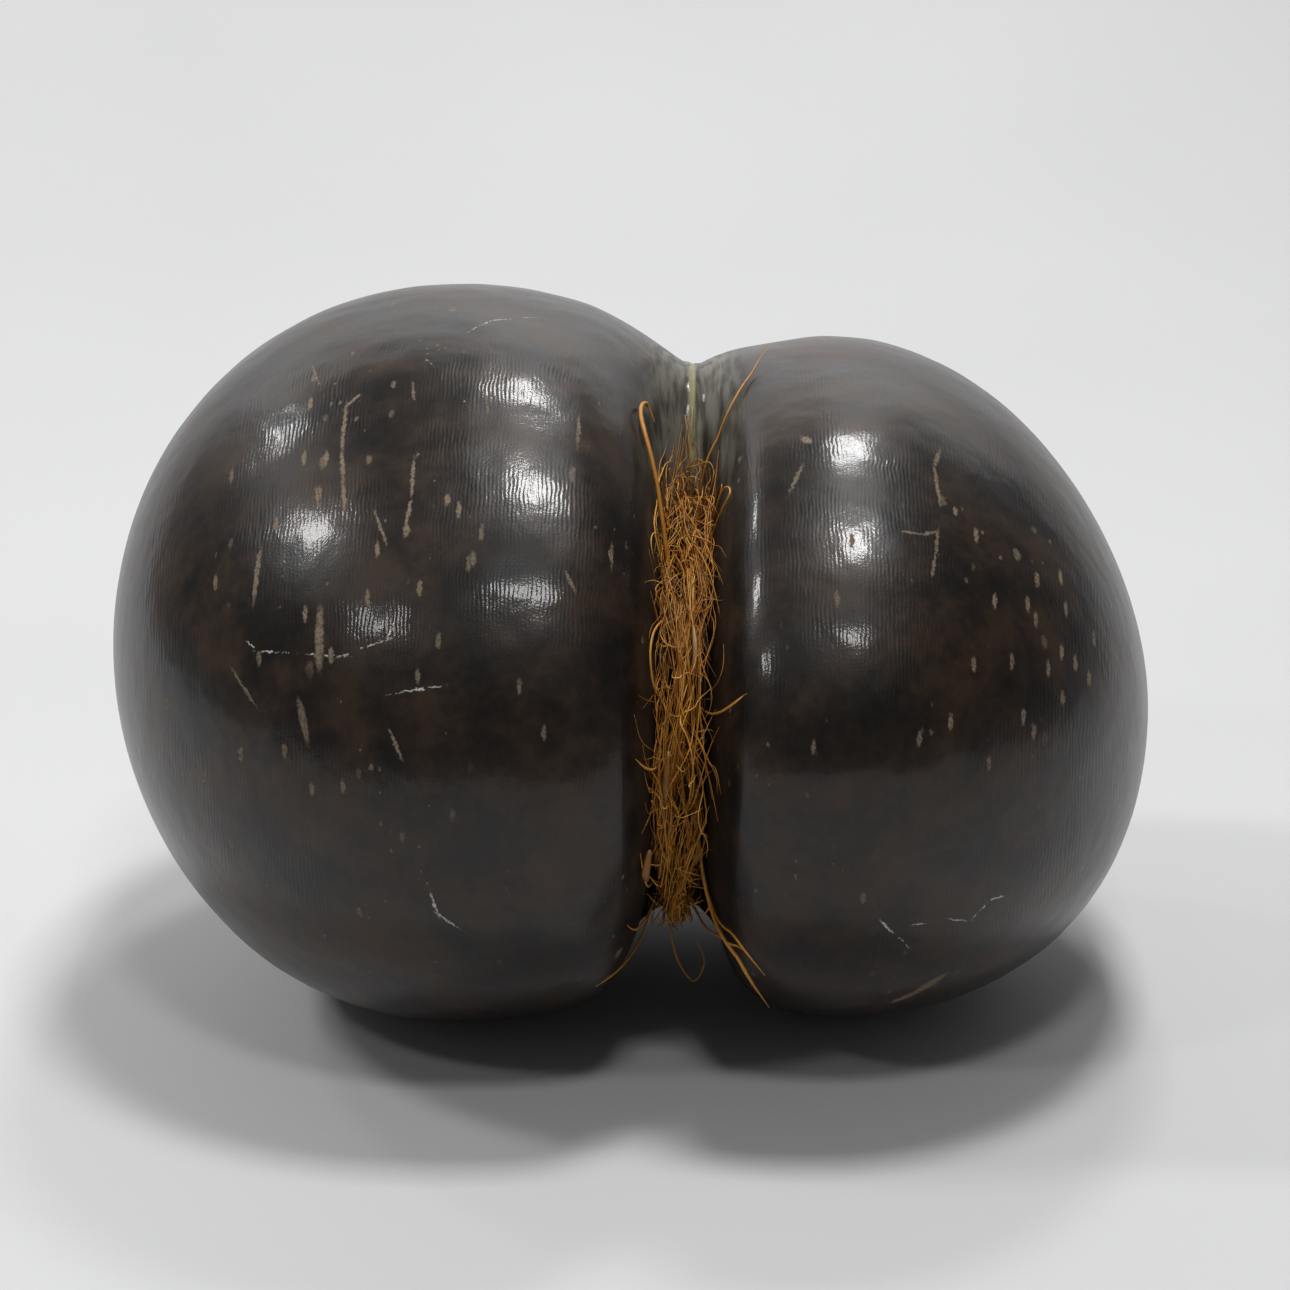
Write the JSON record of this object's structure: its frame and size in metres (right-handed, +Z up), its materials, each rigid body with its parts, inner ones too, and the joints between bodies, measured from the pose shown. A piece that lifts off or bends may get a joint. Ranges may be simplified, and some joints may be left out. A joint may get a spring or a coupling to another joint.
{
  "type": "double coconut",
  "caption": "Polished dark two-lobed palm nut lying on its side, with a deep cleft between the lobes and a tuft of golden husk fibre in the cleft; an ornament that rests on a table.",
  "frame": {"origin": "on the table under the middle of the nut's box", "axes": "+X across the two lobes, towards the smaller one; +Y from the cleft towards the back; +Z up"},
  "size_m": [0.2864, 0.2618, 0.1958],
  "materials": {
    "shell": "polished",
    "husk": "coarse fibre"
  },
  "bodies": {
    "root": {"nut": "shell", "fibre_tuft": "husk"}
  },
  "joints": []
}
